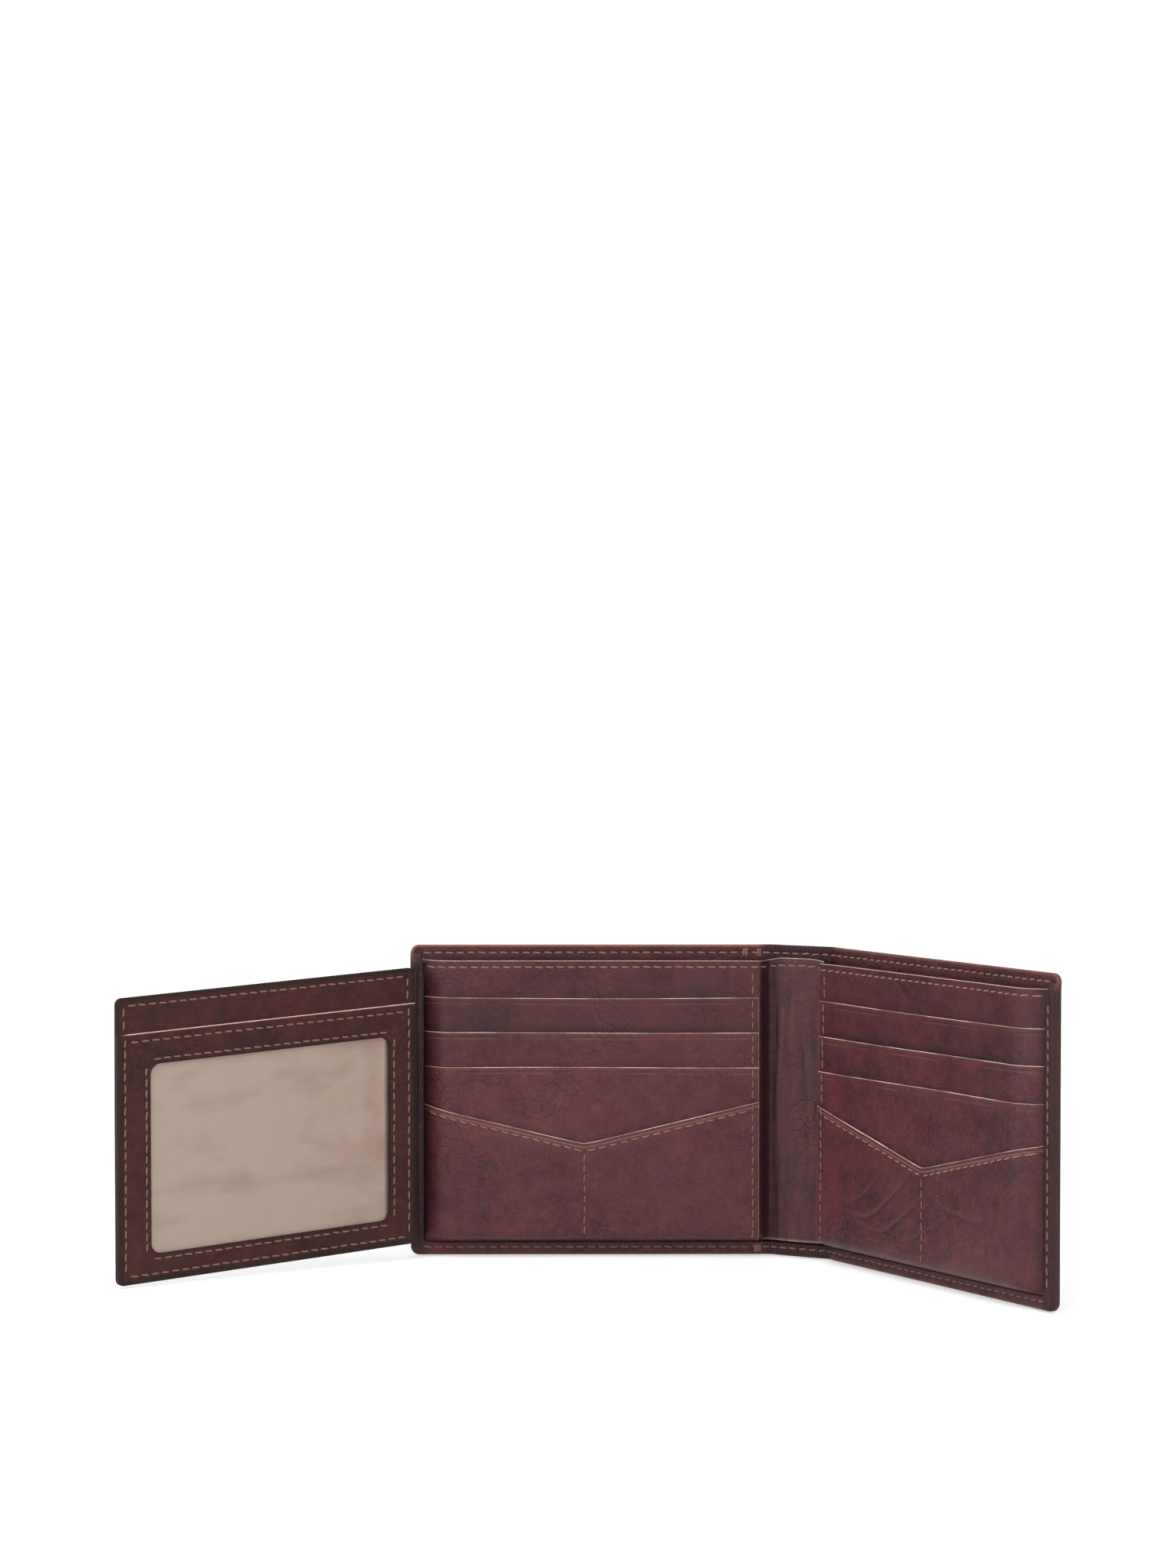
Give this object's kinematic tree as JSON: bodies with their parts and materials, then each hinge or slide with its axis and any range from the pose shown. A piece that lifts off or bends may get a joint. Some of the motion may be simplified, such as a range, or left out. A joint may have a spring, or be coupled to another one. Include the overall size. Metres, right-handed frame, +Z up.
{
  "type": "bifold wallet",
  "caption": "Brown leather bifold wallet, part open on its lower edges, with card slots, front pockets, a bill compartment and a flip-out window flap.",
  "frame": {"origin": "middle of the lower edge of the left half, on the surface it stands on", "axes": "+Z up; +X along the left half from its free edge to its fold; the open inside of the left half faces -Y"},
  "size_m": [0.2527, 0.0999, 0.089],
  "materials": {
    "cover_leather": "semi-gloss pull-up leather, turned hems",
    "inner_leather": "semi-gloss leather with fine creases",
    "flap_leather": "semi-gloss leather, dark painted edge",
    "lining_cloth": "dark woven lining",
    "flap_cloth": "taupe lining behind the window",
    "board": "bonded fibre stiffener",
    "window_film": "frosted clear film",
    "thread": "tan polyester thread"
  },
  "bodies": {
    "left_half": {"outer_cover_left": "cover_leather", "cover_board_left": "board", "bill_lining_left": "lining_cloth", "pocket_lining_left": "lining_cloth", "backing_panel_left": "inner_leather", "card_leaf_1_left": "inner_leather", "card_leaf_2_left": "inner_leather", "card_leaf_3_left": "inner_leather", "front_pocket_left": "inner_leather", "hem_thread_left": "thread", "panel_thread_left": "thread", "pocket_thread_left": "thread", "flap_hinge_strip": "flap_leather"},
    "spine": {"outer_cover_spine": "cover_leather", "bill_lining_spine": "lining_cloth", "inner_panel_spine": "inner_leather", "hem_thread_spine": "thread"},
    "right_half": {"outer_cover_right": "cover_leather", "cover_board_right": "board", "bill_lining_right": "lining_cloth", "pocket_lining_right": "lining_cloth", "backing_panel_right": "inner_leather", "card_leaf_1_right": "inner_leather", "card_leaf_2_right": "inner_leather", "card_leaf_3_right": "inner_leather", "front_pocket_right": "inner_leather", "hem_thread_right": "thread", "panel_thread_right": "thread", "pocket_thread_right": "thread"},
    "id_flap": {"flap_back": "flap_leather", "flap_lining": "flap_cloth", "flap_window_film": "window_film", "flap_top_band": "flap_leather", "flap_window_frame": "flap_leather", "flap_edge_thread": "thread", "flap_slot_thread": "thread", "flap_window_thread": "thread"}
  },
  "joints": [
    {"name": "fold_left", "type": "hinge", "parent": "left_half", "child": "spine", "pos_m": [0.0517, 0.0008, 0.0445], "axis": [0, 0, -1], "range_deg": [-29.4, 60.6]},
    {"name": "fold_right", "type": "hinge", "parent": "spine", "child": "right_half", "pos_m": [0.06843, -0.00863, 0.0445], "axis": [0, 0, -1], "range_deg": [-29.4, 60.6]},
    {"name": "flap_hinge", "type": "hinge", "parent": "left_half", "child": "id_flap", "pos_m": [-0.0499, -0.0088, 0.0445], "axis": [0, 0, 1], "range_deg": [-31, 149]}
  ],
  "couplings": [
    {"joint": "fold_right", "follows": "fold_left", "ratio": 1}
  ]
}
